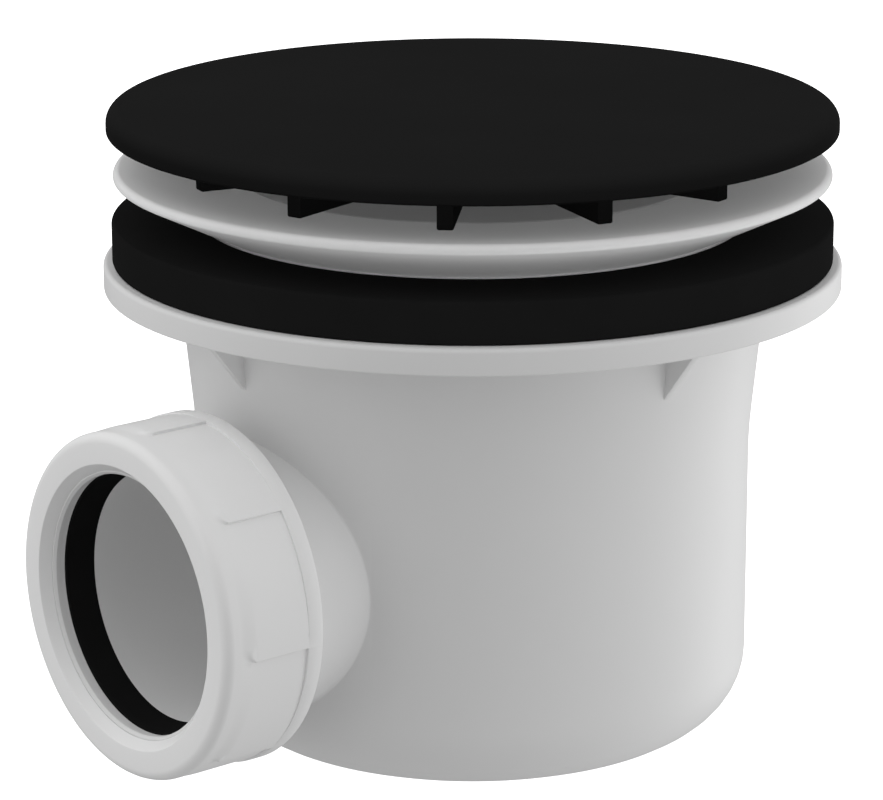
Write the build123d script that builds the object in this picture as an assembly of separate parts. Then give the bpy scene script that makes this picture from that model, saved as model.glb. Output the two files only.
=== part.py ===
from build123d import *
import os

# Shower trap, in millimetres. +Z is up, z = 0 is the pot's flat underside on the main axis,
# and the outlet points along +X.

# What the trap connects to
tray_hole_d = 90.0
pipe_d = 40.0

# Clearances, on the radius or between two faces
tray_play = 0.8  # skirt in the tray's hole
seal_play = 0.6  # rubber ring round the skirt
thread_play = 0.3  # plain wall that stands for a thread, to the crests of its mate
slip_play = 0.3  # pieces that lift out or slip over one another
pipe_play = 0.2  # waste pipe in the spigot
face_play = 0.1  # faces that meet when a loose piece is pushed home

# Trap body: pot, flared neck and flange
pot_wall = 2.5
pot_edge_round = 12.0
pot_bend_round = 80.0  # soft start of the flared neck
neck_wall = 3.8
neck_flare = 2.4  # neck beyond the pot's side
neck_taper_h = 12.0
flange_margin = 1.5  # flange beyond the rubber ring
flange_t = 4.3
flange_round = 0.3
gusset_count = 4
gusset_h = 11.1
gusset_inset = 4.95  # gussets inside the flange's edge
gusset_t = 1.5

# Outlet spigot of the trap body
spigot_wall = 2.4
spigot_length = 16.85  # from the pot's side to the spigot's end
spigot_root_round = 0.5
spigot_thread_length = 8.35
spigot_thread_depth = 1.6

# Compression joint on the spigot: rubber ring, slip ring and union nut
outlet_seal_t = 5.0
outlet_seal_mouth_play = 0.9
outlet_washer_t = 2.15
outlet_washer_play = 1.0
outlet_washer_chamfer = 0.4
outlet_washer_flare_w = 0.25
outlet_washer_flare_length = 0.9
nut_lip_t = 1.65
nut_lip_play = 1.6
nut_mouth_play = 2.9
nut_length = 18.25
nut_collar_wall = 3.8
nut_collar_length = 2.9
nut_front_wall = 3.35
nut_front_round = 1.7
nut_rear_round = 0.5
nut_ground_gap = 4.6  # nut above the level of the pot's underside

# Saw-tooth grip ramps of the union nut
ramp_count = 8
ramp_step_deg = 40.0
ramp_rise = 0.42  # high end of a ramp, above the nut's front cylinder
ramp_sink = 0.05  # low end of a ramp, below it
ramp_length = 12.6
ramp_slope_length = 3.0
ramp_corner_round = 2.5

# Rubber ring under the tray
tray_seal_w = 14.25
tray_seal_h = 6.9
tray_seal_round = 0.6

# Top flange: rim, shallow dish, throat and skirt
rim_inset = 0.4  # rim inside the rubber ring's edge
rim_h = 8.55  # rim's upper edge above the rubber ring
rim_face_h = 1.88
rim_top_round = 0.7
rim_under_round = 1.8
dish_drop = 1.32  # fall of the dish from its rim to the throat
throat_round = 0.6
throat_wall = 2.3
throat_h = 14.63
ledge_w = 1.1
ledge_depth = 2.2
core_w = 2.4  # hollow moulded between throat and skirt
core_roof = 2.83
skirt_wall = 2.2
skirt_h = 23.6
key_slot_count = 4
key_slot_w = 5.0
key_slot_h = 4.5

# Trap insert: seat, dished plate, collar, dip tube, hub, spokes and clip legs
collar_wall = 4.0
collar_h = 11.63
groove_depth = 2.2
groove_w = 2.8
groove_lift = 3.0  # groove above the collar's lower edge
insert_plate_t = 2.2
insert_edge_round = 0.5
insert_mouth_round = 4.0
insert_bend_round = 2.0
dip_tube_r = 18.2
dip_tube_wall = 2.0
water_seal_h = 50.0
hub_r = 9.5
hub_hole_r = 4.8
hub_h = 12.0
hub_depth = 4.15  # hub below the rim's upper edge
spoke_count = 4
spoke_t = 2.0
spoke_lift = 1.0  # spokes above the hub's lower end
spoke_h = 8.0
leg_count = 3
leg_w = 9.0
leg_t = 2.0
leg_h = 14.5  # from the cup's rim to the collar
hook_h = 3.6

# Rubber ring in the insert's groove
o_ring_d = 2.4

# Cup that hangs on the clip legs
cup_wall = 1.8
cup_gap = 2.2  # under the cup
tube_gap = 8.0  # under the dip tube, in the cup
cup_round = 5.0
cup_bead_h = 2.0
cup_bead_w = 1.6

# Cover
cover_overhang = 0.95  # cover beyond the top flange's rim
cover_gap = 6.05  # from the rim up to the cover's edge
cover_edge_h = 3.8
cover_round = 2.3
cover_lip_round = 0.3
cover_plate_t = 2.4
cover_rim_w = 2.2
fin_count = 12
fin_first_deg = 15.0
fin_inset = 11.7  # fins inside the cover's edge
fin_dip = 0.35  # fins below the rim's upper edge
fin_t = 2.65
stem_r = 8.0
peg_length = 9.0

# Levels, from the pot's floor up: the water seal sets the height of the trap
cup_low_z = pot_wall + cup_gap
dip_tube_low_z = cup_low_z + cup_wall + tube_gap
cup_rim_z = dip_tube_low_z + water_seal_h
hook_top_z = cup_rim_z - cup_bead_h
collar_low_z = cup_rim_z + leg_h
groove_low_z = collar_low_z + groove_lift
ledge_z = collar_low_z + collar_h
rim_top_z = ledge_z + ledge_depth + dish_drop
core_top_z = ledge_z + ledge_depth - core_roof
throat_low_z = ledge_z - throat_h
hub_top_z = rim_top_z - hub_depth
hub_low_z = hub_top_z - hub_h
spoke_low_z = hub_low_z + spoke_lift
tray_seal_top_z = rim_top_z - rim_h
body_top_z = tray_seal_top_z - tray_seal_h
flange_low_z = body_top_z - flange_t
gusset_low_z = flange_low_z - gusset_h
skirt_low_z = tray_seal_top_z - skirt_h
neck_bore_z = skirt_low_z
pot_straight_z = neck_bore_z - neck_taper_h
cover_low_z = rim_top_z + cover_gap
cover_top_z = cover_low_z + cover_edge_h
cover_under_z = cover_top_z - cover_plate_t
fin_low_z = rim_top_z - fin_dip
stem_low_z = hub_top_z + face_play

# Radii and lengths that follow from the pipe, the tray's hole and the clearances
skirt_r = tray_hole_d / 2 - tray_play
skirt_bore_r = skirt_r - skirt_wall
tray_seal_bore_r = skirt_r + seal_play
tray_seal_r = tray_seal_bore_r + tray_seal_w
throat_out_r = skirt_bore_r - core_w
throat_bore_r = throat_out_r - throat_wall
throat_r = throat_bore_r + ledge_w
rim_r = tray_seal_r - rim_inset
dish_slope = dish_drop / (rim_r - throat_r)

neck_bore_r = skirt_r + thread_play
neck_r = neck_bore_r + neck_wall
pot_r = neck_r - neck_flare
flange_r = tray_seal_r + flange_margin
gusset_reach_r = flange_r - gusset_inset

collar_r = throat_bore_r - slip_play
collar_bore_r = collar_r - collar_wall
groove_r = collar_r - groove_depth
leg_r = collar_r - face_play
leg_in_r = leg_r - leg_t
cup_bead_r = leg_in_r - slip_play
cup_r = cup_bead_r - cup_bead_w
dip_tube_bore_r = dip_tube_r - dip_tube_wall

cover_r = rim_r + cover_overhang
fin_reach_r = cover_r - fin_inset
peg_r = hub_hole_r - slip_play

pipe_r = pipe_d / 2
spigot_bore_r = pipe_r + pipe_play
spigot_r = spigot_bore_r + spigot_wall
spigot_end_x = pot_r + spigot_length
spigot_thread_x = spigot_end_x - spigot_thread_length
thread_r = spigot_r + spigot_thread_depth
nut_bore_r = thread_r + thread_play
nut_collar_r = nut_bore_r + nut_collar_wall
nut_front_r = nut_bore_r + nut_front_wall
outlet_z = nut_collar_r + nut_ground_gap
ring_r = nut_bore_r - slip_play
outlet_seal_front_x = spigot_end_x + outlet_seal_t
washer_rear_x = outlet_seal_front_x + face_play
washer_front_x = washer_rear_x + outlet_washer_t
nut_lip_x = washer_front_x + face_play
nut_front_x = nut_lip_x + nut_lip_t
nut_rear_x = nut_front_x - nut_length
nut_collar_x = nut_rear_x + nut_collar_length
ramp_front_x = nut_collar_x + ramp_length
ramp_high_r = nut_front_r + ramp_rise
ramp_low_r = nut_front_r - ramp_sink

# The seam of a turned solid lies clear of the outlet, fins, legs and gussets
seam_deg = 210.0

# Frame of the outlet: local Z runs along the outlet, local X is +Y of the trap
outlet = Plane(origin=(0, 0, outlet_z), x_dir=(0, 1, 0), z_dir=(1, 0, 0))


def turned(*corners):
    # Solid of revolution about Z. A corner is (radius, height) or (radius, height, rounding).
    points = [corner[:2] for corner in corners]
    rounds = [corner[2] if len(corner) > 2 else 0 for corner in corners]
    outline = FilletPolyline(*points, radius=rounds, close=True)
    return Rot(0, 0, seam_deg) * revolve(Plane.XZ * make_face(outline), Axis.Z)


def rod(radius, low, high):
    return Pos(0, 0, low) * Cylinder(radius, high - low, align=(Align.CENTER, Align.CENTER, Align.MIN))


def radial_block(reach_from, reach_to, width, low, high):
    # Block that stands along +X between two radii
    centre = Pos((reach_from + reach_to) / 2, 0, low)
    aligned = (Align.CENTER, Align.CENTER, Align.MIN)
    return centre * Box(reach_to - reach_from, width, high - low, align=aligned)


def around(piece, count, first_deg=0.0):
    return [Rot(0, 0, first_deg + index * 360 / count) * piece for index in range(count)]


def dish_z(radius):
    # Height of the shallow dish that the flange and the insert share
    return rim_top_z - dish_slope * (rim_r - radius)


def make_trap_body():
    pot = turned(
        (0, 0),
        (pot_r, 0, pot_edge_round),
        (pot_r, pot_straight_z, pot_bend_round),
        (neck_r, flange_low_z),
        (flange_r, flange_low_z, flange_round),
        (flange_r, body_top_z, flange_round),
        (0, body_top_z),
    )
    # The spigot runs into the pot's wall, and its root is rounded
    pot += outlet * turned(
        (0, pot_r / 2),
        (spigot_r, pot_r / 2),
        (spigot_r, spigot_thread_x - spigot_thread_depth),
        (thread_r, spigot_thread_x),
        (thread_r, spigot_end_x),
        (0, spigot_end_x),
    )
    root = [edge for edge in pot.edges() if edge.geom_type == GeomType.BSPLINE]
    pot = fillet(root, spigot_root_round)
    pot_in_r = pot_r - pot_wall
    hollow = turned(
        (0, pot_wall),
        (pot_in_r, pot_wall, pot_edge_round - pot_wall),
        (pot_in_r, pot_straight_z),
        (neck_bore_r, neck_bore_z),
        (neck_bore_r, body_top_z),
        (0, body_top_z),
    )
    gusset_in_r = neck_bore_r + pot_wall / 2
    gusset_face = Polyline(
        (gusset_in_r, gusset_low_z - pot_wall / 2),
        (gusset_reach_r, flange_low_z),
        (gusset_reach_r, flange_low_z + flange_t / 2),
        (gusset_in_r, flange_low_z + flange_t / 2),
        close=True,
    )
    gusset = extrude(Plane.XZ * make_face(gusset_face), gusset_t / 2, both=True)
    pot += around(gusset, gusset_count)
    return pot - hollow - outlet * rod(spigot_bore_r, 0, spigot_end_x)


def make_tray_seal():
    return turned(
        (tray_seal_bore_r, body_top_z),
        (tray_seal_r, body_top_z, tray_seal_round),
        (tray_seal_r, tray_seal_top_z, tray_seal_round),
        (tray_seal_bore_r, tray_seal_top_z),
    )


def make_top_flange():
    flange = turned(
        (skirt_bore_r, skirt_low_z),
        (skirt_r, skirt_low_z),
        (skirt_r, tray_seal_top_z),
        (rim_r, rim_top_z - rim_face_h, rim_under_round),
        (rim_r, rim_top_z, rim_top_round),
        (throat_r, dish_z(throat_r), throat_round),
        (throat_r, ledge_z),
        (throat_bore_r, ledge_z),
        (throat_bore_r, throat_low_z),
        (throat_out_r, throat_low_z),
        (throat_out_r, core_top_z),
        (skirt_bore_r, core_top_z),
    )
    # Slots in the throat's lower edge that the fitter's key turns
    slot = radial_block(throat_bore_r - throat_wall, (throat_out_r + skirt_bore_r) / 2, key_slot_w,
                        throat_low_z, throat_low_z + key_slot_h)
    return flange - around(slot, key_slot_count, 45)


def make_trap_insert():
    seat_r = throat_r - slip_play
    shell = turned(
        (dip_tube_bore_r, dip_tube_low_z),
        (dip_tube_r, dip_tube_low_z),
        (dip_tube_r, dish_z(dip_tube_r) - insert_plate_t, insert_bend_round),
        (collar_bore_r, dish_z(collar_bore_r) - insert_plate_t, insert_bend_round),
        (collar_bore_r, collar_low_z),
        (collar_r, collar_low_z, insert_edge_round),
        (collar_r, groove_low_z),
        (groove_r, groove_low_z),
        (groove_r, groove_low_z + groove_w),
        (collar_r, groove_low_z + groove_w),
        (collar_r, ledge_z),
        (seat_r, ledge_z),
        (seat_r, dish_z(seat_r), insert_edge_round),
        (dip_tube_bore_r, dish_z(dip_tube_bore_r), insert_mouth_round),
    )
    hub = rod(hub_r, hub_low_z, hub_top_z)
    spoke_reach_r = dip_tube_r - dip_tube_wall / 2
    spoke = radial_block(hub_r / 2, spoke_reach_r, spoke_t, spoke_low_z, spoke_low_z + spoke_h)
    hub += around(spoke, spoke_count, 45)
    hub -= rod(hub_hole_r, hub_low_z, hub_top_z)
    # Each leg is a slice of one turned ring with an inward hook
    hook_in_r = cup_r + slip_play
    hook_low_z = hook_top_z - hook_h
    leg_ring = turned(
        (leg_in_r, hook_low_z),
        (leg_r, hook_low_z),
        (leg_r, collar_low_z),
        (leg_in_r, collar_low_z),
        (leg_in_r, hook_top_z),
        (hook_in_r, hook_top_z),
        (hook_in_r, hook_low_z + hook_h / 2),
    )
    leg = leg_ring & radial_block(cup_r, leg_r + leg_t, leg_w, hook_low_z, collar_low_z)
    return shell + hub + around(leg, leg_count, 60)


def make_insert_o_ring():
    ring_z = groove_low_z + groove_w / 2
    centre_r = (groove_r + throat_bore_r) / 2
    return Pos(0, 0, ring_z) * Torus(centre_r, o_ring_d / 2)


def make_trap_cup():
    inner_r = cup_r - cup_wall
    return turned(
        (0, cup_low_z),
        (cup_r, cup_low_z, cup_round),
        (cup_r, hook_top_z),
        (cup_bead_r, hook_top_z),
        (cup_bead_r, cup_rim_z, cup_bead_h / 4),
        (inner_r, cup_rim_z, cup_bead_h / 4),
        (inner_r, cup_low_z + cup_wall, cup_round - cup_wall),
        (0, cup_low_z + cup_wall),
    )


def make_outlet_seal():
    return outlet * turned(
        (spigot_bore_r + face_play, spigot_end_x),
        (ring_r, spigot_end_x),
        (ring_r, outlet_seal_front_x),
        (pipe_r + outlet_seal_mouth_play, outlet_seal_front_x),
    )


def make_outlet_washer():
    bore_r = pipe_r + outlet_washer_play
    return outlet * turned(
        (bore_r + outlet_washer_flare_w, washer_rear_x),
        (ring_r, washer_rear_x),
        (ring_r, washer_front_x),
        (bore_r + outlet_washer_chamfer, washer_front_x),
        (bore_r, washer_front_x - outlet_washer_chamfer),
        (bore_r, washer_rear_x + outlet_washer_flare_length),
    )


def make_outlet_nut():
    shell = turned(
        (nut_bore_r, nut_rear_x),
        (nut_collar_r, nut_rear_x, nut_rear_round),
        (nut_collar_r, nut_collar_x),
        (nut_front_r, nut_collar_x),
        (nut_front_r, nut_front_x, nut_front_round),
        (pipe_r + nut_mouth_play, nut_front_x),
        (pipe_r + nut_lip_play, nut_lip_x),
        (nut_bore_r, nut_lip_x),
    )
    # Saw-tooth outline: each ramp falls away from its step to the foot of the next step
    pitch_deg = 360 / ramp_count
    outline = []
    for index in range(ramp_count):
        start_deg = ramp_step_deg + index * pitch_deg
        high = Vector(ramp_high_r, 0).rotate(Axis.Z, start_deg)
        middle = Vector((ramp_high_r + ramp_low_r) / 2, 0).rotate(Axis.Z, start_deg + pitch_deg / 2)
        low = Vector(ramp_low_r, 0).rotate(Axis.Z, start_deg + pitch_deg)
        next_high = Vector(ramp_high_r, 0).rotate(Axis.Z, start_deg + pitch_deg)
        outline += [ThreePointArc(high, middle, low), Line(low, next_high)]
    grip = Pos(0, 0, nut_collar_x) * extrude(make_face(outline), ramp_length)
    # The front corner of each step is rounded, and the ramps slope down to the nut's front
    step_corners = grip.edges().filter_by(GeomType.LINE).group_by(Axis.Z)[-1]
    grip = fillet(step_corners, ramp_corner_round)
    grip &= turned(
        (nut_bore_r, nut_collar_x),
        (nut_collar_r, nut_collar_x),
        (nut_collar_r, ramp_front_x - ramp_slope_length),
        (nut_front_r, ramp_front_x),
        (nut_bore_r, ramp_front_x),
    )
    return outlet * (shell + grip)


def make_cover_plate():
    cover = turned(
        (0, cover_under_z),
        (cover_r - cover_rim_w, cover_under_z),
        (cover_r - cover_rim_w, cover_low_z),
        (cover_r, cover_low_z, cover_lip_round),
        (cover_r, cover_top_z, cover_round),
        (0, cover_top_z),
    )
    fin = radial_block(0, fin_reach_r, fin_t, fin_low_z, cover_under_z)
    cover += around(fin, fin_count, fin_first_deg)
    cover += rod(stem_r, stem_low_z, cover_under_z)
    return cover + rod(peg_r, stem_low_z - peg_length, stem_low_z)


nodes = {
    "trap_body": make_trap_body,
    "tray_seal": make_tray_seal,
    "top_flange": make_top_flange,
    "trap_insert": make_trap_insert,
    "insert_o_ring": make_insert_o_ring,
    "trap_cup": make_trap_cup,
    "outlet_seal": make_outlet_seal,
    "outlet_washer": make_outlet_washer,
    "outlet_nut": make_outlet_nut,
    "cover_plate": make_cover_plate,
}

os.makedirs("parts", exist_ok=True)
for name, make in nodes.items():
    export_step(make(), f"parts/{name}.step")
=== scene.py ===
import math

import bmesh
import bpy
from mathutils import Matrix, Vector


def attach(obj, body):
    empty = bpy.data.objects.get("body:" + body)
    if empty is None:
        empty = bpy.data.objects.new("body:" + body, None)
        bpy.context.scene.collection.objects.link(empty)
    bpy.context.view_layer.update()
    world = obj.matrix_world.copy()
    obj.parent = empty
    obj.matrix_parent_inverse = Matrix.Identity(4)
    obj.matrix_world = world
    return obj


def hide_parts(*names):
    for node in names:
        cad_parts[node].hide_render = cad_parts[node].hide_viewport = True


# Shower trap in a white light tent. Sizes are in millimetres and become metres when a piece is finished.

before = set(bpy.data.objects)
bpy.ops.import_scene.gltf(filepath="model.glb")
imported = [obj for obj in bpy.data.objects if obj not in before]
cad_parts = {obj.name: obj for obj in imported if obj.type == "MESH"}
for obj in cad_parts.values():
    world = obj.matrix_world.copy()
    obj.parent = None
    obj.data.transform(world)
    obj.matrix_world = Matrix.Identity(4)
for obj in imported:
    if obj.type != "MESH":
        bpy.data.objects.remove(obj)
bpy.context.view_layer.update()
print("frame loaded:", sorted(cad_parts))

mmPerMetre = 1000.0

# In the tables of sizes, Edge, Round and Bend are radii of roundings, Past is how far a cut runs beyond
# its piece, Sink and In are how deep a shape is set into its neighbour, and FirstDeg turns the first copy.
trap = {
    "outletHeight": 32.9,  # axis of the spigot above the pot's underside
    "bodyTop": 78.7,       # upper face of the pot's flange
    "sealTop": 85.6,       # upper face of the rubber ring
    "hubTop": 90.0,        # where the cover's stem stands on the insert
    "ledge": 90.63,        # where the insert's seat lies in the top flange
    "rimTop": 94.15,       # upper edge of the top flange, where the shallow dish starts
    "rimRadius": 58.65,
    "dishSlope": 0.0652,
}

meshing = {
    "roundness": 240,      # segments of the large turned pieces
    "arcStepDeg": 9.0,     # between the points of a rounded corner
    "leastArcSteps": 3,
    "bevelSteps": 2,
    "weld": 0.001,         # points of neighbouring copies that lie closer than this become one
    "sharpDeg": 32.0,      # edges that bend more than this are shaded sharp
}


def linearColour(hexCode):
    channels = [int(hexCode[i:i + 2], 16) / 255 for i in (1, 3, 5)]
    return tuple(c / 12.92 if c <= 0.04045 else ((c + 0.055) / 1.055) ** 2.4 for c in channels) + (1.0,)


def addNode(tree, kind, inputs=None, **settings):
    node = tree.nodes.new(kind)
    for name, value in settings.items():
        setattr(node, name, value)
    for socket, value in (inputs or {}).items():
        if isinstance(value, bpy.types.NodeSocket):
            tree.links.new(value, node.inputs[socket])
        else:
            node.inputs[socket].default_value = value
    return node


# Profiles and turned pieces

def rectangle(inner, outer, low, top):
    return [(inner, low), (outer, low), (outer, top), (inner, top)]


def roundedProfile(corners):
    # Corners are (radius, level) or (radius, level, rounding), in order round a closed outline
    points = []
    for i, corner in enumerate(corners):
        here = Vector(corner[:2])
        rounding = corner[2] if len(corner) > 2 else 0
        if not rounding:
            points.append(here)
            continue
        back = (Vector(corners[i - 1][:2]) - here).normalized()
        ahead = (Vector(corners[(i + 1) % len(corners)][:2]) - here).normalized()
        half = back.angle(ahead) / 2
        centre = here + (back + ahead).normalized() * (rounding / math.sin(half))
        first = here + back * (rounding / math.tan(half)) - centre
        last = here + ahead * (rounding / math.tan(half)) - centre
        start = math.atan2(first.y, first.x)
        sweep = (math.atan2(last.y, last.x) - start + math.pi) % (2 * math.pi) - math.pi
        steps = max(meshing["leastArcSteps"], math.ceil(abs(math.degrees(sweep)) / meshing["arcStepDeg"]))
        for k in range(steps + 1):
            angle = start + sweep * k / steps
            points.append(centre + rounding * Vector((math.cos(angle), math.sin(angle))))
    return points


def profileAt(bm, profile, angle):
    # The points of a profile, turned to an angle about Z
    return [bm.verts.new((r * math.cos(angle), r * math.sin(angle), level)) for r, level in profile]


def turnedMesh(corners, segments=None, sweepDeg=360.0):
    # Closed solid turned about Z, or a slice of one, centred on +X, with flat ends
    segments = segments or meshing["roundness"]
    whole = sweepDeg >= 360.0
    columns = segments if whole else segments + 1
    firstDeg = 0.0 if whole else -sweepDeg / 2
    angles = [math.radians(firstDeg + sweepDeg * j / segments) for j in range(columns)]
    bm = bmesh.new()
    loops = []
    for radius, level in roundedProfile(corners):
        if radius == 0:
            loops.append([bm.verts.new((0, 0, level))] * columns)
        else:
            loops.append([bm.verts.new((radius * math.cos(a), radius * math.sin(a), level)) for a in angles])
    for loop, nextLoop in zip(loops, loops[1:] + loops[:1]):
        for j in range(segments):
            k = (j + 1) % columns
            around = list(dict.fromkeys((loop[j], loop[k], nextLoop[k], nextLoop[j])))
            if len(around) > 2:  # a face on the axis has no width
                bm.faces.new(around)
    if not whole:
        bm.faces.new([loop[0] for loop in loops])
        bm.faces.new([loop[-1] for loop in loops])
    bmesh.ops.recalc_face_normals(bm, faces=bm.faces)
    return bm


def bladeMesh(outline, thickness, edge):
    # Flat plate along +X, upright, with softened edges. The outline is (radius, level) points.
    bm = bmesh.new()
    sides = [[bm.verts.new((r, y, z)) for r, z in outline] for y in (-thickness / 2, thickness / 2)]
    bm.faces.new(sides[0])
    bm.faces.new(sides[1])
    for k in range(len(outline)):
        bm.faces.new((sides[0][k - 1], sides[0][k], sides[1][k], sides[1][k - 1]))
    bmesh.ops.recalc_face_normals(bm, faces=bm.faces)
    if edge:
        bmesh.ops.bevel(bm, geom=bm.edges[:], offset=edge, segments=meshing["bevelSteps"], affect="EDGES",
                        profile=0.5)
    return bm


def newPiece(name, bm):
    mesh = bpy.data.meshes.new(name)
    bm.to_mesh(mesh)
    bm.free()
    piece = bpy.data.objects.new(name, mesh)
    bpy.context.scene.collection.objects.link(piece)
    return piece


def settle(piece):
    # The evaluated mesh takes the place of the mesh and its modifiers
    graph = bpy.context.evaluated_depsgraph_get()
    mesh = bpy.data.meshes.new_from_object(piece.evaluated_get(graph), depsgraph=graph)
    old = piece.data
    piece.modifiers.clear()
    piece.data = mesh
    mesh.name = piece.name
    bpy.data.meshes.remove(old)
    return piece


def combine(piece, operation, *tools):
    for tool in tools:
        modifier = piece.modifiers.new(tool.name, "BOOLEAN")
        modifier.operation = operation
        modifier.solver = "EXACT"
        modifier.object = tool
    settle(piece)
    for tool in tools:
        bpy.data.objects.remove(tool)
    return piece


# Local Z becomes the outlet's direction +X, and local X becomes +Y
outletFrame = Matrix(((0, 0, 1, 0), (1, 0, 0, 0), (0, 1, 0, trap["outletHeight"]), (0, 0, 0, 1)))


def onOutlet(piece):
    piece.data.transform(outletFrame)
    return piece


def finishPiece(piece, body, node, material, sharpDeg=meshing["sharpDeg"]):
    mesh = piece.data
    mesh.transform(Matrix.Scale(1 / mmPerMetre, 4))
    mesh.materials.clear()
    mesh.materials.append(material)
    for polygon in mesh.polygons:
        polygon.material_index = 0
        polygon.use_smooth = True
    mesh.set_sharp_from_angle(angle=math.radians(sharpDeg))
    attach(piece, body)
    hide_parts(node)
    print("piece:", piece.name, len(mesh.polygons), "faces")
    return piece


# Geometry Nodes: a tree with named inputs, and a piece that is run through it

def newTree(name, **inputs):
    tree = bpy.data.node_groups.new(name, "GeometryNodeTree")
    tree.interface.new_socket("Geometry", in_out="INPUT", socket_type="NodeSocketGeometry")
    for inputName, kind in inputs.items():
        tree.interface.new_socket(inputName, in_out="INPUT", socket_type="NodeSocket" + kind)
    tree.interface.new_socket("Geometry", in_out="OUTPUT", socket_type="NodeSocketGeometry")
    return tree, addNode(tree, "NodeGroupInput").outputs


def runTree(piece, tree, **values):
    modifier = piece.modifiers.new(tree.name, "NODES")
    modifier.node_group = tree
    for item in tree.interface.items_tree:
        if item.in_out == "INPUT" and item.name in values:
            modifier[item.identifier] = values[item.name]
    return settle(piece)


def makeRingTree():
    # Copies of one shape, evenly spaced round the Z axis
    tree, given = newTree("ringOfCopies", copies="Int", firstAngle="Float", weldDistance="Float",
                          material="Material")
    points = addNode(tree, "GeometryNodePoints", {"Count": given["copies"]})
    index = addNode(tree, "GeometryNodeInputIndex")
    pitch = addNode(tree, "ShaderNodeMath", {0: 2 * math.pi, 1: given["copies"]}, operation="DIVIDE")
    angle = addNode(tree, "ShaderNodeMath",
                    {0: index.outputs[0], 1: pitch.outputs[0], 2: given["firstAngle"]},
                    operation="MULTIPLY_ADD")
    turn = addNode(tree, "FunctionNodeAxisAngleToRotation", {"Axis": (0, 0, 1), "Angle": angle.outputs[0]})
    placed = addNode(tree, "GeometryNodeInstanceOnPoints",
                     {"Points": points.outputs[0], "Instance": given["Geometry"],
                      "Rotation": turn.outputs[0]})
    real = addNode(tree, "GeometryNodeRealizeInstances", {"Geometry": placed.outputs[0]})
    weld = addNode(tree, "GeometryNodeMergeByDistance",
                   {"Geometry": real.outputs[0], "Distance": given["weldDistance"]})
    finish = addNode(tree, "GeometryNodeSetMaterial",
                     {"Geometry": weld.outputs[0], "Material": given["material"]})
    addNode(tree, "NodeGroupOutput", {"Geometry": finish.outputs[0]})
    return tree


ringTree = makeRingTree()


def ringOfCopies(name, bm, count, firstDeg, material):
    return runTree(newPiece(name, bm), ringTree, copies=count, firstAngle=math.radians(firstDeg),
                   weldDistance=meshing["weld"], material=material)


# Materials

def newMaterial(name):
    material = bpy.data.materials.new(name)
    material.use_nodes = True
    tree = material.node_tree
    tree.nodes.clear()
    shader = addNode(tree, "ShaderNodeBsdfPrincipled")
    addNode(tree, "ShaderNodeOutputMaterial", {"Surface": shader.outputs[0]})
    return material, tree, shader


def dressShader(tree, shader, look, tint, wear, relief):
    # Three patterns: tint runs between the colours, wear between the roughnesses, and relief is the bumps
    colour = addNode(tree, "ShaderNodeMix", {0: tint, 6: linearColour(look["dark"]),
                                             7: linearColour(look["light"])}, data_type="RGBA")
    rough = addNode(tree, "ShaderNodeMapRange", {"Value": wear, "To Min": look["roughLow"],
                                                 "To Max": look["roughHigh"]})
    bump = addNode(tree, "ShaderNodeBump", {"Height": relief, "Strength": look["reliefStrength"],
                                            "Distance": look["reliefMm"] / mmPerMetre})
    tree.links.new(colour.outputs[2], shader.inputs["Base Color"])
    tree.links.new(rough.outputs[0], shader.inputs["Roughness"])
    tree.links.new(bump.outputs[0], shader.inputs["Normal"])
    shader.inputs["IOR"].default_value = look["ior"]
    shader.inputs["Specular IOR Level"].default_value = look["specular"]


# Polypropylene, injection moulded in a spark-eroded mould: white, satin, with a faint cloudiness
# where the melt flowed. The eroded grain is about 0.1 mm, drawn at 0.5 mm so that it shows.
polypropyleneLook = {
    "dark": "#E1E1E1", "light": "#E6E6E6", "roughLow": 0.40, "roughHigh": 0.48,
    "cloudMm": 22.0, "cloudDetail": 3.0, "grainMm": 0.5, "grainDetail": 2.0,
    "reliefMm": 0.006, "reliefStrength": 0.5, "ior": 1.49, "specular": 0.5,
}


def makePolypropylene():
    look = polypropyleneLook
    material, tree, shader = newMaterial("whitePolypropylene")
    place = addNode(tree, "ShaderNodeTexCoord").outputs["Object"]
    cloud = addNode(tree, "ShaderNodeTexNoise", {"Vector": place, "Scale": mmPerMetre / look["cloudMm"],
                                                 "Detail": look["cloudDetail"]}).outputs["Fac"]
    grain = addNode(tree, "ShaderNodeTexNoise", {"Vector": place, "Scale": mmPerMetre / look["grainMm"],
                                                 "Detail": look["grainDetail"]}).outputs["Fac"]
    dressShader(tree, shader, look, cloud, grain, grain)
    return material


# ABS, moulded in black with a fine matt grain: it stays evenly dark, with almost no gloss at its edges.
# The grain is about 0.1 mm, drawn at 0.4 mm so that it shows.
absLook = {
    "dark": "#101010", "light": "#131313", "roughLow": 0.52, "roughHigh": 0.6,
    "patchMm": 30.0, "patchDetail": 2.0, "grainMm": 0.4, "grainDetail": 2.0,
    "reliefMm": 0.008, "reliefStrength": 0.5, "ior": 1.53, "specular": 0.002,
}


def makeBlackAbs():
    look = absLook
    material, tree, shader = newMaterial("blackAbs")
    place = addNode(tree, "ShaderNodeTexCoord").outputs["Object"]
    patch = addNode(tree, "ShaderNodeTexNoise", {"Vector": place, "Scale": mmPerMetre / look["patchMm"],
                                                 "Detail": look["patchDetail"]}).outputs["Fac"]
    grain = addNode(tree, "ShaderNodeTexNoise", {"Vector": place, "Scale": mmPerMetre / look["grainMm"],
                                                 "Detail": look["grainDetail"]}).outputs["Fac"]
    dressShader(tree, shader, look, patch, grain, grain)
    return material


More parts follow.
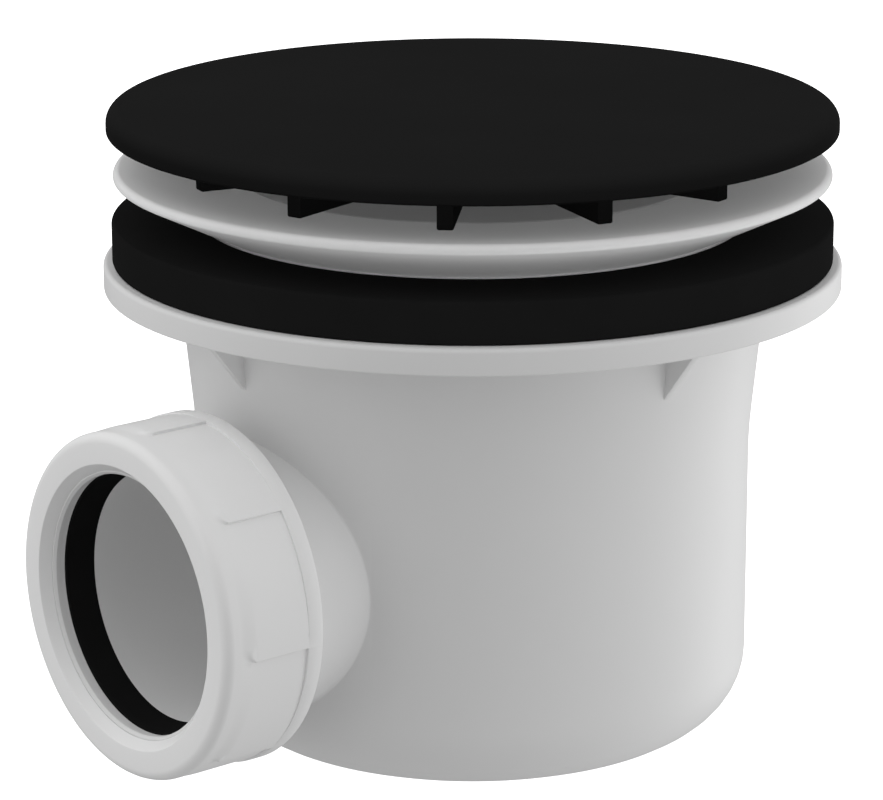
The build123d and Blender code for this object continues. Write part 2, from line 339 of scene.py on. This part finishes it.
# Nitrile rubber, pressed in a plain mould: black, dull, with a dusty bloom in faint patches.
rubberLook = {
    "dark": "#171717", "light": "#1B1B1B", "roughLow": 0.72, "roughHigh": 0.86,
    "bloomMm": 9.0, "bloomDetail": 5.0, "skinMm": 0.7, "skinDetail": 2.0,
    "reliefMm": 0.01, "reliefStrength": 0.5, "ior": 1.52, "specular": 0.003,
}


def makeRubber():
    look = rubberLook
    material, tree, shader = newMaterial("nitrileRubber")
    place = addNode(tree, "ShaderNodeTexCoord").outputs["Object"]
    bloom = addNode(tree, "ShaderNodeTexNoise", {"Vector": place, "Scale": mmPerMetre / look["bloomMm"],
                                                 "Detail": look["bloomDetail"]}).outputs["Fac"]
    skin = addNode(tree, "ShaderNodeTexNoise", {"Vector": place, "Scale": mmPerMetre / look["skinMm"],
                                                "Detail": look["skinDetail"]}).outputs["Fac"]
    dressShader(tree, shader, look, bloom, bloom, skin)
    return material


# Polyethylene slip ring, cut from extruded tube: milky and waxy, with faint turning lines round it.
# The lines are about 0.2 mm apart, drawn at 3 mm so that they show.
polyethyleneLook = {
    "dark": "#D2D2D2", "light": "#DCDCDC", "roughLow": 0.45, "roughHigh": 0.6,
    "lineMm": 3.14, "lineWander": 0.4,
    "reliefMm": 0.01, "reliefStrength": 0.4, "ior": 1.51, "specular": 0.5,
}
waveRadians = 20.0  # what Blender's wave texture turns through in one unit at scale 1


def makePolyethylene():
    look = polyethyleneLook
    material, tree, shader = newMaterial("greyPolyethylene")
    place = addNode(tree, "ShaderNodeTexCoord").outputs["Object"]
    lineScale = 2 * math.pi / waveRadians * mmPerMetre / look["lineMm"]
    lines = addNode(tree, "ShaderNodeTexWave",
                    {"Vector": place, "Scale": lineScale, "Distortion": look["lineWander"]},
                    wave_type="BANDS", bands_direction="X").outputs["Fac"]
    dressShader(tree, shader, look, lines, lines, lines)
    return material


polypropylene = makePolypropylene()
blackAbs = makeBlackAbs()
rubber = makeRubber()
polyethylene = makePolyethylene()
print("materials ready")


# Trap body: pot, neck, flange, gussets and the threaded spigot, one moulding

pot = {
    "potRadius": 45.9, "potWall": 2.5, "potEdge": 12.0, "potStraight": 50.0, "potBend": 80.0,
    "neckRadius": 48.3, "neckRound": 0.6, "neckBore": 44.5, "neckBoreLevel": 62.0, "hollowPast": 5.0,
    "flangeRadius": 60.55, "flangeUnder": 74.4, "flangeEdge": 0.3, "flangeTopRound": 0.8,
    "gussets": 4, "gussetFirstDeg": 0.0, "gussetLow": 63.3, "gussetReach": 55.6, "gussetSink": 1.5,
    "gussetThickness": 1.5, "gussetEdge": 0.2,
    "spigotRadius": 22.6, "spigotBore": 20.2, "spigotEnd": 62.75, "spigotChamfer": 0.4,
    "boreStart": 5.0, "boreEnd": 80.0, "rootRound": 0.5, "rootSink": 0.05,
    "threadStart": 54.4, "threadPitch": 4.0, "threadDepth": 1.6, "threadSink": 0.2,
    "threadFoot": 2.4, "threadCrest": 0.9, "threadSteps": 96,
}


def potRadiusAt(level):
    edge = pot["potEdge"]
    if level >= edge:
        return pot["potRadius"]
    return pot["potRadius"] - edge + math.sqrt(max(0.0, edge ** 2 - (edge - level) ** 2))


def spigotMesh():
    # Solid stub whose root flows into the pot with a small rolling-ball round
    segments = meshing["roundness"]
    radius, rounding, chamfer = pot["spigotRadius"], pot["rootRound"], pot["spigotChamfer"]
    arcSteps, tries, nudge = 7, 20, 0.01

    def potDepth(r, angle):
        y, z = r * math.cos(angle), trap["outletHeight"] + r * math.sin(angle)
        return math.sqrt((potRadiusAt(z) - pot["rootSink"]) ** 2 - y ** 2)

    bm = bmesh.new()
    columns = []
    for j in range(segments):
        angle = 2 * math.pi * j / segments
        touch = radius + rounding
        for _ in range(tries):  # the ball touches the pot where the surface normal leads to its centre
            slope = (potDepth(touch + nudge, angle) - potDepth(touch - nudge, angle)) / (2 * nudge)
            normal = Vector((-slope, 1.0)).normalized()
            touch = radius + rounding - rounding * normal.x
        centre = Vector((radius + rounding, potDepth(touch, angle) + rounding * normal.y))
        start = math.atan2(-normal.y, -normal.x)
        sweep = -math.pi - start
        profile = [(touch, pot["potRadius"] / 2)]
        for k in range(arcSteps + 1):
            turn = start + sweep * k / arcSteps
            profile.append((centre.x + rounding * math.cos(turn), centre.y + rounding * math.sin(turn)))
        profile += [(radius, pot["spigotEnd"] - chamfer), (radius - chamfer, pot["spigotEnd"])]
        columns.append(profileAt(bm, profile, angle))
    for column, nextColumn in zip(columns, columns[1:] + columns[:1]):
        for k in range(len(column) - 1):
            bm.faces.new((column[k], nextColumn[k], nextColumn[k + 1], column[k + 1]))
    bm.faces.new([column[0] for column in columns])
    bm.faces.new([column[-1] for column in columns])
    bmesh.ops.recalc_face_normals(bm, faces=bm.faces)
    return bm


def makeThreadTree():
    # A ridge swept along a helix
    tree, given = newTree("threadRidge", turns="Float", radius="Float", length="Float", stepsPerTurn="Int",
                          material="Material")
    helix = addNode(tree, "GeometryNodeCurveSpiral",
                    {"Resolution": given["stepsPerTurn"], "Rotations": given["turns"],
                     "Start Radius": given["radius"], "End Radius": given["radius"],
                     "Height": given["length"]})
    upright = addNode(tree, "GeometryNodeSetCurveNormal", {"Curve": helix.outputs[0]}, mode="Z_UP")
    section = addNode(tree, "GeometryNodeMeshToCurve", {"Mesh": given["Geometry"]})
    ridge = addNode(tree, "GeometryNodeCurveToMesh",
                    {"Curve": upright.outputs[0], "Profile Curve": section.outputs[0], "Fill Caps": True})
    real = addNode(tree, "GeometryNodeRealizeInstances", {"Geometry": ridge.outputs[0]})
    finish = addNode(tree, "GeometryNodeSetMaterial",
                     {"Geometry": real.outputs[0], "Material": given["material"]})
    addNode(tree, "NodeGroupOutput", {"Geometry": finish.outputs[0]})
    return tree


def threadRidge():
    foot, crest = pot["threadFoot"], pot["threadCrest"]
    depth, sink = pot["threadDepth"], pot["threadSink"]
    bm = bmesh.new()
    section = [(-sink, -foot / 2), (-sink, foot / 2), (depth, crest / 2), (depth, -crest / 2)]
    corners = [bm.verts.new((across, along, 0)) for across, along in section]
    for k in range(len(corners)):
        bm.edges.new((corners[k - 1], corners[k]))
    length = pot["spigotEnd"] - pot["threadStart"] - foot
    piece = runTree(newPiece("spigotThread", bm), makeThreadTree(), turns=length / pot["threadPitch"],
                    radius=pot["spigotRadius"], length=length, stepsPerTurn=pot["threadSteps"],
                    material=polypropylene)
    piece.data.transform(Matrix.Translation((0, 0, pot["threadStart"] + foot / 2)))
    return onOutlet(piece)


def buildTrapBody():
    wall = pot["potWall"]
    inner = pot["potRadius"] - wall
    piece = newPiece("trapBody", turnedMesh([
        (0, 0), (pot["potRadius"], 0, pot["potEdge"]),
        (pot["potRadius"], pot["potStraight"], pot["potBend"]),
        (pot["neckRadius"], pot["flangeUnder"], pot["neckRound"]),
        (pot["flangeRadius"], pot["flangeUnder"], pot["flangeEdge"]),
        (pot["flangeRadius"], trap["bodyTop"], pot["flangeTopRound"]), (0, trap["bodyTop"])]))
    gussetRoot, gussetTop = pot["neckBore"] + wall / 2, pot["flangeUnder"] + pot["gussetSink"]
    gusset = bladeMesh([
        (gussetRoot, pot["gussetLow"] - wall / 2), (pot["gussetReach"], pot["flangeUnder"]),
        (pot["gussetReach"], gussetTop), (gussetRoot, gussetTop)],
        pot["gussetThickness"], pot["gussetEdge"])
    gussets = ringOfCopies("gussets", gusset, pot["gussets"], pot["gussetFirstDeg"], polypropylene)
    spigot = onOutlet(newPiece("spigot", spigotMesh()))
    combine(piece, "UNION", spigot, gussets)
    hollowTop = trap["bodyTop"] + pot["hollowPast"]
    hollow = newPiece("hollow", turnedMesh([
        (0, wall), (inner, wall, pot["potEdge"] - wall), (inner, pot["potStraight"]),
        (pot["neckBore"], pot["neckBoreLevel"]), (pot["neckBore"], hollowTop), (0, hollowTop)]))
    bore = onOutlet(newPiece("bore", turnedMesh(
        rectangle(0, pot["spigotBore"], pot["boreStart"], pot["boreEnd"]))))
    combine(piece, "DIFFERENCE", hollow, bore)
    combine(piece, "UNION", threadRidge())
    return finishPiece(piece, "trap", "trap_body", polypropylene)


# Rubber ring under the tray

seal = {"bore": 44.8, "radius": 59.05, "edge": 0.6, "boreEdge": 0.3}


def buildTraySeal():
    piece = newPiece("traySeal", turnedMesh([
        (seal["bore"], trap["bodyTop"], seal["boreEdge"]), (seal["radius"], trap["bodyTop"], seal["edge"]),
        (seal["radius"], trap["sealTop"], seal["edge"]), (seal["bore"], trap["sealTop"], seal["boreEdge"])]))
    return finishPiece(piece, "trap", "tray_seal", rubber)


# Top flange: rim, shallow dish, throat, ledge and skirt, one moulding

def dishLevel(radius):
    # The flange and the insert share one shallow dish
    return trap["rimTop"] - trap["dishSlope"] * (trap["rimRadius"] - radius)


flange = {
    "rimFace": 1.5, "rimTopRound": 1.1, "rimUnderRound": 0.5,
    "throat": 38.4, "throatRound": 0.6, "ledgeEdge": 0.2,
    "throatBore": 37.3, "throatOut": 39.6, "throatLow": 76.0, "throatEdge": 0.3,
    "coreTop": 90.0, "coreRound": 0.5,
    "skirtRadius": 44.2, "skirtBore": 42.0, "skirtLow": 62.0, "skirtEdge": 0.3,
    "keySlots": 4, "keySlotFirstDeg": 45.0, "keySlotWidth": 5.0, "keySlotHeight": 4.5,
    "keySlotPastBore": 2.0, "keySlotPastEnd": 1.0,
}


def buildTopFlange():
    piece = newPiece("topFlange", turnedMesh([
        (flange["skirtBore"], flange["skirtLow"], flange["skirtEdge"]),
        (flange["skirtRadius"], flange["skirtLow"], flange["skirtEdge"]),
        (flange["skirtRadius"], trap["sealTop"]),
        (trap["rimRadius"], trap["rimTop"] - flange["rimFace"], flange["rimUnderRound"]),
        (trap["rimRadius"], trap["rimTop"], flange["rimTopRound"]),
        (flange["throat"], dishLevel(flange["throat"]), flange["throatRound"]),
        (flange["throat"], trap["ledge"]), (flange["throatBore"], trap["ledge"], flange["ledgeEdge"]),
        (flange["throatBore"], flange["throatLow"], flange["throatEdge"]),
        (flange["throatOut"], flange["throatLow"], flange["throatEdge"]),
        (flange["throatOut"], flange["coreTop"], flange["coreRound"]),
        (flange["skirtBore"], flange["coreTop"], flange["coreRound"])]))
    slot = bladeMesh(rectangle(
        flange["throatBore"] - flange["keySlotPastBore"], (flange["throatOut"] + flange["skirtBore"]) / 2,
        flange["throatLow"] - flange["keySlotPastEnd"], flange["throatLow"] + flange["keySlotHeight"]),
        flange["keySlotWidth"], 0)
    slots = ringOfCopies("keySlots", slot, flange["keySlots"], flange["keySlotFirstDeg"], polypropylene)
    combine(piece, "DIFFERENCE", slots)
    return finishPiece(piece, "trap", "top_flange", polypropylene)


# Lift-out insert: seat, dished plate, collar, dip tube, hub, spokes and clip legs, one moulding

insert = {
    "seat": 38.1, "seatEdge": 0.5, "plate": 2.2, "mouthRound": 4.0, "bendRound": 2.0,
    "collar": 37.0, "collarBore": 33.0, "collarLow": 79.0, "collarEdge": 0.5,
    "groove": 34.8, "grooveLow": 82.0, "grooveTop": 84.8, "grooveEdge": 0.2,
    "tube": 18.2, "tubeBore": 16.2, "tubeLow": 14.5, "tubeEdge": 0.4,
    "hub": 9.5, "hubLow": 78.0, "hubEdge": 0.5, "hubHole": 4.8, "hubHoleEdge": 0.3, "hubRoundness": 96,
    "spokes": 4, "spokeFirstDeg": 45.0, "spokeThickness": 2.0, "spokeLow": 79.0, "spokeTop": 87.0,
    "spokeEdge": 0.3, "spokeInHub": 1.5, "spokeInTube": 1.0,
    "legs": 3, "legFirstDeg": 60.0, "legIn": 34.9, "legOut": 36.9, "legWidth": 9.0, "legSegments": 10,
    "legEdge": 0.4, "legInCollar": 0.6, "hookIn": 33.3, "hookTop": 62.5, "hookHeight": 3.6, "hookEdge": 0.3,
}


def buildTrapInsert():
    piece = newPiece("trapInsert", turnedMesh([
        (insert["tubeBore"], insert["tubeLow"], insert["tubeEdge"]),
        (insert["tube"], insert["tubeLow"], insert["tubeEdge"]),
        (insert["tube"], dishLevel(insert["tube"]) - insert["plate"], insert["bendRound"]),
        (insert["collarBore"], dishLevel(insert["collarBore"]) - insert["plate"], insert["bendRound"]),
        (insert["collarBore"], insert["collarLow"], insert["collarEdge"]),
        (insert["collar"], insert["collarLow"], insert["collarEdge"]),
        (insert["collar"], insert["grooveLow"], insert["grooveEdge"]),
        (insert["groove"], insert["grooveLow"]), (insert["groove"], insert["grooveTop"]),
        (insert["collar"], insert["grooveTop"], insert["grooveEdge"]),
        (insert["collar"], trap["ledge"]), (insert["seat"], trap["ledge"]),
        (insert["seat"], dishLevel(insert["seat"]), insert["seatEdge"]),
        (insert["tubeBore"], dishLevel(insert["tubeBore"]), insert["mouthRound"])]))
    hub = newPiece("hub", turnedMesh([
        (insert["hubHole"], insert["hubLow"], insert["hubHoleEdge"]),
        (insert["hub"], insert["hubLow"], insert["hubEdge"]),
        (insert["hub"], trap["hubTop"], insert["hubEdge"]),
        (insert["hubHole"], trap["hubTop"], insert["hubHoleEdge"])], insert["hubRoundness"]))
    spoke = bladeMesh(rectangle(
        insert["hub"] - insert["spokeInHub"], insert["tubeBore"] + insert["spokeInTube"],
        insert["spokeLow"], insert["spokeTop"]), insert["spokeThickness"], insert["spokeEdge"])
    hookLow = insert["hookTop"] - insert["hookHeight"]
    legTop = insert["collarLow"] + insert["legInCollar"]
    legSweep = math.degrees(insert["legWidth"] / insert["legIn"])
    leg = turnedMesh([
        (insert["legIn"], hookLow), (insert["legOut"], hookLow, insert["legEdge"]),
        (insert["legOut"], legTop), (insert["legIn"], legTop),
        (insert["legIn"], insert["hookTop"]), (insert["hookIn"], insert["hookTop"], insert["hookEdge"]),
        (insert["hookIn"], hookLow + insert["hookHeight"] / 2, insert["legEdge"])],
        insert["legSegments"], legSweep)
    spokes = ringOfCopies("spokes", spoke, insert["spokes"], insert["spokeFirstDeg"], polypropylene)
    legs = ringOfCopies("legs", leg, insert["legs"], insert["legFirstDeg"], polypropylene)
    combine(piece, "UNION", spokes, legs)
    combine(piece, "UNION", hub)
    return finishPiece(piece, "trap", "trap_insert", polypropylene)


# Rubber ring in the insert's groove

oRing = {"centreRadius": 36.05, "thickness": 2.4, "level": 83.4, "roundShare": 0.999}


def buildInsertORing():
    half = oRing["thickness"] / 2
    square = rectangle(oRing["centreRadius"] - half, oRing["centreRadius"] + half,
                       oRing["level"] - half, oRing["level"] + half)
    rounding = half * oRing["roundShare"]  # just short of a half, so that the four arcs don't meet
    piece = newPiece("insertORing", turnedMesh([(radius, level, rounding) for radius, level in square]))
    return finishPiece(piece, "trap", "insert_o_ring", rubber)


# Cup that holds the water seal

cup = {"radius": 33.0, "wall": 1.8, "low": 4.7, "round": 5.0,
       "rim": 64.5, "rimEdge": 0.5, "beadRadius": 34.6, "beadLow": 62.5, "beadEdge": 0.3}


def buildTrapCup():
    inner = cup["radius"] - cup["wall"]
    floor = cup["low"] + cup["wall"]
    piece = newPiece("trapCup", turnedMesh([
        (0, cup["low"]), (cup["radius"], cup["low"], cup["round"]), (cup["radius"], cup["beadLow"]),
        (cup["beadRadius"], cup["beadLow"], cup["beadEdge"]), (cup["beadRadius"], cup["rim"], cup["rimEdge"]),
        (inner, cup["rim"], cup["rimEdge"]), (inner, floor, cup["round"] - cup["wall"]), (0, floor)]))
    return finishPiece(piece, "trap", "trap_cup", polypropylene)


# Compression joint: rubber ring, slip ring and union nut, turned about the outlet

rings = {
    "radius": 24.2, "sealRear": 62.75, "sealFront": 67.75, "sealRearBore": 20.3, "sealFrontBore": 20.9,
    "sealEdge": 0.3, "sealBoreEdge": 0.2,
    "washerRear": 67.85, "washerFront": 70.0, "washerBore": 21.0, "washerChamfer": 0.4,
    "flareWidth": 0.25, "flareLength": 0.9,
}


def buildOutletSeal():
    piece = onOutlet(newPiece("outletSeal", turnedMesh([
        (rings["sealRearBore"], rings["sealRear"]), (rings["radius"], rings["sealRear"], rings["sealEdge"]),
        (rings["radius"], rings["sealFront"], rings["sealEdge"]),
        (rings["sealFrontBore"], rings["sealFront"], rings["sealBoreEdge"])])))
    return finishPiece(piece, "trap", "outlet_seal", rubber)


def buildOutletWasher():
    chamfer = rings["washerChamfer"]
    piece = onOutlet(newPiece("outletWasher", turnedMesh([
        (rings["washerBore"] + rings["flareWidth"], rings["washerRear"]),
        (rings["radius"], rings["washerRear"]), (rings["radius"], rings["washerFront"]),
        (rings["washerBore"] + chamfer, rings["washerFront"]),
        (rings["washerBore"], rings["washerFront"] - chamfer),
        (rings["washerBore"], rings["washerRear"] + rings["flareLength"])])))
    return finishPiece(piece, "slip_ring", "outlet_washer", polyethylene)


nut = {
    "rear": 53.5, "front": 71.75, "bore": 24.5, "boreChamfer": 0.6,
    "lip": 70.1, "lipBore": 21.6, "mouth": 22.9, "mouthRound": 0.25,
    "collarRadius": 28.3, "collarFront": 56.4, "rearRound": 0.5, "rearRoundMiddle": 0.15, "wallRound": 0.08,
    "frontRadius": 27.85, "frontRound": 1.7,
    "ramps": 8, "stepDeg": 40.0, "rampHigh": 28.3, "rampLow": 27.8, "rampFront": 69.0,
    "slope": 3.0, "cornerRound": 2.5, "cornerSlope": 0.2, "stepEdge": 0.12, "sharpDeg": 40.0,
}

# Where the columns and rows of the nut's mesh start after a step and after the collar, and how many there are
nutGrid = {
    "stepLean": 0.02, "cornerStart": 0.4, "cornerColumns": 8, "rampColumns": 18,
    "wallLean": 0.01, "flatStart": 0.3, "flatRows": 8, "slopeRows": 20,
}


def smooth(value):
    # Eases from 0 to 1
    value = min(1.0, max(0.0, value))
    return value * value * (3 - 2 * value)


def spread(start, end, count):
    # Even steps from the start, without the end
    return [start + (end - start) * k / count for k in range(count)]


def rampRadius(distance, x, length):
    # Outer radius at a distance round the nut from the step, and at x along it
    base = nut["frontRadius"]
    height = nut["rampHigh"] + (nut["rampLow"] - nut["rampHigh"]) * distance / length - base
    corner, slope = nut["cornerRound"], nut["slope"]
    inward = nut["rampFront"] - x
    if distance < corner and inward < corner:
        across, along = corner - distance, corner - inward
        inward = corner - math.hypot(across, along)
        slope = nut["cornerSlope"] + (slope - nut["cornerSlope"]) * math.atan2(along, across) / (math.pi / 2)
    return base + height * smooth(inward / slope)


def nutSector():
    # One eighth of the nut, from a step to just before the next one
    sectorRad = 2 * math.pi / nut["ramps"]
    length = nut["rampHigh"] * sectorRad
    edge, corner, wall = nut["stepEdge"], nut["cornerRound"], nut["wallRound"]
    collar, rear, chamfer = nut["collarRadius"], nut["rear"], nut["boreChamfer"]
    slopeStart = nut["rampFront"] - nut["slope"]
    distances = [0.0, nutGrid["stepLean"], edge, 2 * edge]
    distances += spread(nutGrid["cornerStart"], corner, nutGrid["cornerColumns"])
    distances += spread(corner, length, nutGrid["rampColumns"]) + [length]
    levels = [nut["collarFront"] + nutGrid["wallLean"]]
    levels += spread(nut["collarFront"] + nutGrid["flatStart"], slopeStart, nutGrid["flatRows"])
    levels += spread(slopeStart, nut["rampFront"], nutGrid["slopeRows"]) + [nut["rampFront"]]
    back = [(nut["bore"] + chamfer, rear), (collar - nut["rearRound"], rear),
            (collar - nut["rearRoundMiddle"], rear + nut["rearRoundMiddle"]),
            (collar, rear + nut["rearRound"]), (collar, nut["collarFront"] - wall)]
    frontArc = roundedProfile([(0, nut["front"]), (nut["frontRadius"], nut["rampFront"]),
                               (nut["frontRadius"], nut["front"], nut["frontRound"])])[2:]
    mouthArc = roundedProfile([(nut["frontRadius"], nut["front"]),
                               (nut["mouth"], nut["front"], nut["mouthRound"]),
                               (nut["lipBore"], nut["lip"])])[1:-1]
    inside = [(nut["lipBore"], nut["lip"]), (nut["bore"], nut["lip"]), (nut["bore"], rear + chamfer)]
    bm = bmesh.new()
    columns = []
    for i, distance in enumerate(distances):
        atFoot = i in (0, len(distances) - 1)
        outline = []
        for level in levels:
            foot = rampRadius(length, level, length)
            outer = foot if atFoot else rampRadius(distance, level, length)
            if i == 1:  # the step's upper edge is broken
                outer -= 0.5 * edge * min(1.0, (outer - foot) / edge)
            outline.append((outer, level))
        sunk = min(wall / 2, collar - outline[0][0])  # the collar's edge fades where the ramp is as high
        profile = back + [(collar - sunk, nut["collarFront"])] + outline
        profile += [(point.x, point.y) for point in frontArc + mouthArc] + inside
        columns.append(profileAt(bm, profile, sectorRad * distance / length))
    for column, nextColumn in zip(columns, columns[1:]):
        for k in range(len(column)):
            bm.faces.new((column[k - 1], nextColumn[k - 1], nextColumn[k], column[k]))
    bmesh.ops.recalc_face_normals(bm, faces=bm.faces)
    return bm


def buildOutletNut():
    piece = ringOfCopies("outletNut", nutSector(), nut["ramps"], nut["stepDeg"], polypropylene)
    bm = bmesh.new()
    bm.from_mesh(piece.data)
    bmesh.ops.recalc_face_normals(bm, faces=bm.faces)
    bm.to_mesh(piece.data)
    bm.free()
    return finishPiece(onOutlet(piece), "nut", "outlet_nut", polypropylene,
                       nut["sharpDeg"])


# Cover: disc with a rounded edge, fins, stem and peg, one moulding

cover = {
    "radius": 59.6, "low": 100.2, "top": 104.0, "edge": 2.3, "under": 101.6, "underRound": 0.6,
    "rimWidth": 2.2, "rimInEdge": 0.3, "rimOutEdge": 0.4,
    "fins": 12, "finFirstDeg": 15.0, "finReach": 47.9, "finLow": 93.8, "finThickness": 2.65, "finEdge": 0.3,
    "finInStem": 1.5, "finInDisc": 0.8,
    "stem": 8.0, "stemEdge": 0.4, "peg": 4.5, "pegLength": 9.0, "pegEdge": 0.5, "seatGap": 0.1,
}


def buildCover():
    stemLow = trap["hubTop"] + cover["seatGap"]
    pegLow = stemLow - cover["pegLength"]
    rimIn = cover["radius"] - cover["rimWidth"]
    piece = newPiece("coverPlate", turnedMesh([
        (0, pegLow), (cover["peg"], pegLow, cover["pegEdge"]), (cover["peg"], stemLow),
        (cover["stem"], stemLow, cover["stemEdge"]), (cover["stem"], cover["under"], cover["underRound"]),
        (rimIn, cover["under"], cover["underRound"]), (rimIn, cover["low"], cover["rimInEdge"]),
        (cover["radius"], cover["low"], cover["rimOutEdge"]), (cover["radius"], cover["top"], cover["edge"]),
        (0, cover["top"])]))
    fin = bladeMesh(rectangle(
        cover["stem"] - cover["finInStem"], cover["finReach"],
        cover["finLow"], cover["under"] + cover["finInDisc"]), cover["finThickness"], cover["finEdge"])
    combine(piece, "UNION", ringOfCopies("fins", fin, cover["fins"], cover["finFirstDeg"], blackAbs))
    return finishPiece(piece, "cover", "cover_plate", blackAbs)


buildTrapBody()
buildTraySeal()
buildTopFlange()
buildTrapInsert()
buildInsertORing()
buildTrapCup()
buildOutletSeal()
buildOutletWasher()
buildOutletNut()
buildCover()


# Camera, fitted to the ellipses of the cover, the flange and the pot in the photograph

view = {"distance": 602.33, "height": 225.09, "headingDeg": 140.0, "pitchDeg": 15.9,
        "focalPixels": 3764.0, "axisPixel": 472.7, "levelPixel": 400.5, "imageWidth": 883, "imageHeight": 800,
        "sensorWidth": 36.0, "clipNear": 10.0, "clipFar": 20000.0}


def buildCamera():
    data = bpy.data.cameras.new("camera")
    camera = bpy.data.objects.new("camera", data)
    bpy.context.scene.collection.objects.link(camera)
    heading = math.radians(view["headingDeg"])
    camera.location = Vector((math.sin(heading) * view["distance"], -math.cos(heading) * view["distance"],
                              view["height"])) / mmPerMetre
    camera.rotation_euler = (math.radians(90 - view["pitchDeg"]), 0, heading)
    data.sensor_fit = "HORIZONTAL"
    data.sensor_width = view["sensorWidth"]
    data.lens = view["focalPixels"] / view["imageWidth"] * view["sensorWidth"]
    data.shift_x = (view["imageWidth"] / 2 - view["axisPixel"]) / view["imageWidth"]
    data.shift_y = (view["levelPixel"] - view["imageHeight"] / 2) / view["imageWidth"]
    data.clip_start, data.clip_end = view["clipNear"] / mmPerMetre, view["clipFar"] / mmPerMetre
    bpy.context.scene.camera = camera


def seenFromCamera(right, ahead, up):
    return Matrix.Rotation(math.radians(view["headingDeg"]), 3, "Z") @ Vector((right, ahead, up)).normalized()


# Light tent: soft panels on both sides and above, and none behind the camera.
# A panel is how far it lies to the right, ahead and up as the camera sees it, and its strength.

tentPanels = {
    "right": (1, 0, 0, 0.62), "rightLow": (1, 0, -1, 0.53),
    "left": (-1, 0, 0, 0.65), "leftHigh": (-1, 0, 1, 0.34), "top": (0, 0, 1, 0.57),
}


def buildTent():
    world = bpy.data.worlds.new("lightTent")
    bpy.context.scene.world = world
    world.use_nodes = True
    tree = world.node_tree
    tree.nodes.clear()
    ray = addNode(tree, "ShaderNodeTexCoord").outputs["Generated"]
    total = 0.0
    for right, ahead, up, strength in tentPanels.values():
        facing = addNode(tree, "ShaderNodeVectorMath", {0: ray, 1: seenFromCamera(right, ahead, up)},
                         operation="DOT_PRODUCT")
        lit = addNode(tree, "ShaderNodeMath", {0: facing.outputs["Value"], 1: 0.0}, operation="MAXIMUM")
        total = addNode(tree, "ShaderNodeMath", {0: lit.outputs[0], 1: strength, 2: total},
                        operation="MULTIPLY_ADD").outputs[0]
    glow = addNode(tree, "ShaderNodeBackground", {"Color": (1, 1, 1, 1), "Strength": total})
    addNode(tree, "ShaderNodeOutputWorld", {"Surface": glow.outputs[0]})


# Soft fill lamps: each opens up the shadows of the pieces that it names and leaves the others alone.
# With more than seven, the render loses some of their light.

fillSpreadDeg = 60.0
fills = {
    "dishFill": {"place": (0, 0, 1), "strength": 0.64, "pieces": ("topFlange",)},
    "underFill": {"place": (0.5, -0.5, -1), "strength": 0.6, "pieces": ("topFlange",)},
    "insideFill": {"place": (0, 0, 1), "strength": 0.27,
                   "pieces": ("trapInsert", "outletNut", "outletWasher")},
    "mouthFill": {"place": (-0.766, -0.643, 0.4), "strength": 0.25,
                  "pieces": ("outletNut", "outletWasher", "outletSeal")},
    "edgeFill": {"place": (1, 0.6, 0), "strength": 0.47,
                 "pieces": ("trapBody", "topFlange", "trapInsert", "outletNut", "outletWasher")},
    "coverFill": {"place": (0, -0.6, 1), "strength": 3.4, "pieces": ("coverPlate",)},
    "sealFill": {"place": (0, -1, -0.2), "strength": 0.6, "pieces": ("traySeal",)},
}


def buildFills():
    for name, fill in fills.items():
        data = bpy.data.lights.new(name, "SUN")
        data.energy = fill["strength"]
        data.angle = math.radians(fillSpreadDeg)
        data.use_shadow = False
        data.cycles.use_multiple_importance_sampling = False  # else the cover would block part of it
        lamp = bpy.data.objects.new(name, data)
        lamp.rotation_euler = seenFromCamera(*fill["place"]).to_track_quat("Z", "Y").to_euler()
        bpy.context.scene.collection.objects.link(lamp)
        lit = bpy.data.collections.new(name + "Lights")
        for piece in fill["pieces"]:
            lit.objects.link(bpy.data.objects[piece])
        lamp.light_linking.receiver_collection = lit


# White table, lit from below. Only the camera sees it, so that it throws no light up on the trap.

table = {"size": 8000.0, "glow": 0.97, "colour": "#F4F4F4", "rough": 0.9}


def buildFloor():
    half = table["size"] / mmPerMetre / 2
    bm = bmesh.new()
    bm.faces.new([bm.verts.new((x, y, 0)) for x, y in rectangle(-half, half, -half, half)])
    floor = newPiece("floor", bm)
    material, _, shader = newMaterial("whiteTable")
    shader.inputs["Base Color"].default_value = linearColour(table["colour"])
    shader.inputs["Roughness"].default_value = table["rough"]
    shader.inputs["Emission Color"].default_value = (1, 1, 1, 1)
    shader.inputs["Emission Strength"].default_value = table["glow"]
    floor.data.materials.append(material)
    floor.visible_diffuse = False
    floor.visible_glossy = False
    floor.visible_shadow = False


buildTent()
buildFills()
buildFloor()
buildCamera()
bpy.context.scene.view_settings.view_transform = "Standard"
print("studio ready")
